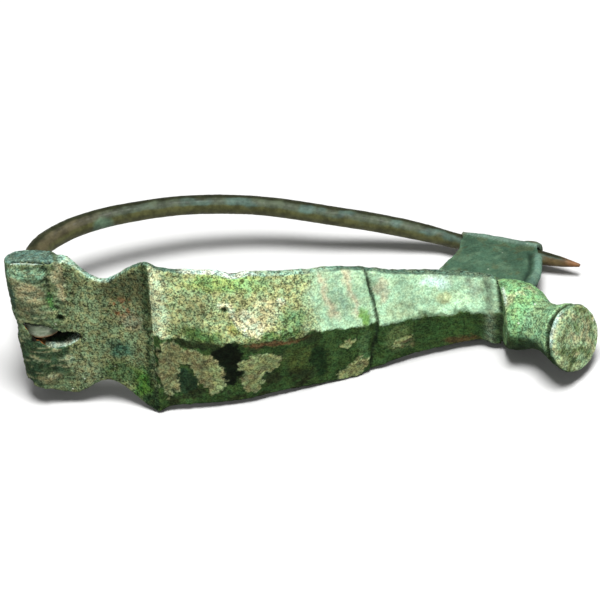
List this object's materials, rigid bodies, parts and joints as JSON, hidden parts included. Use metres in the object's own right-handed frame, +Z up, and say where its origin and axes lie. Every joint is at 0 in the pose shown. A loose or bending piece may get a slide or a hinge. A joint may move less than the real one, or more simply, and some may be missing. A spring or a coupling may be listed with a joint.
{
  "type": "roman fibula brooch",
  "caption": "Hinged bow brooch of patinated copper alloy with rolled head, winged crest, knobbed foot, catchplate and bowed pin, lying on its side.",
  "frame": {"origin": "middle of the underside of the brooch's box as it lies at rest on its side, on the surface that it lies on", "axes": "+Z up, +X from the head along the length to the foot, -Y out of the front of the bow, so the pin is on the +Y side"},
  "size_m": [0.0516, 0.0314, 0.0155],
  "materials": {
    "cast_bronze": "rough green and olive patina with tan crusts",
    "pin_wire": "smooth brown patina with a grey-green sheen",
    "bar": "dull brown corrosion"
  },
  "bodies": {
    "brooch": {"bow": "cast_bronze", "hinge_bar": "bar"},
    "pin": {"pin": "pin_wire"}
  },
  "joints": [
    {"name": "pin_hinge", "type": "hinge", "parent": "brooch", "child": "pin", "pos_m": [-0.0233, 0.00095, 0.00817], "axis": [0.1307, 0.1546, 0.9793], "range_deg": [0, 70]}
  ]
}
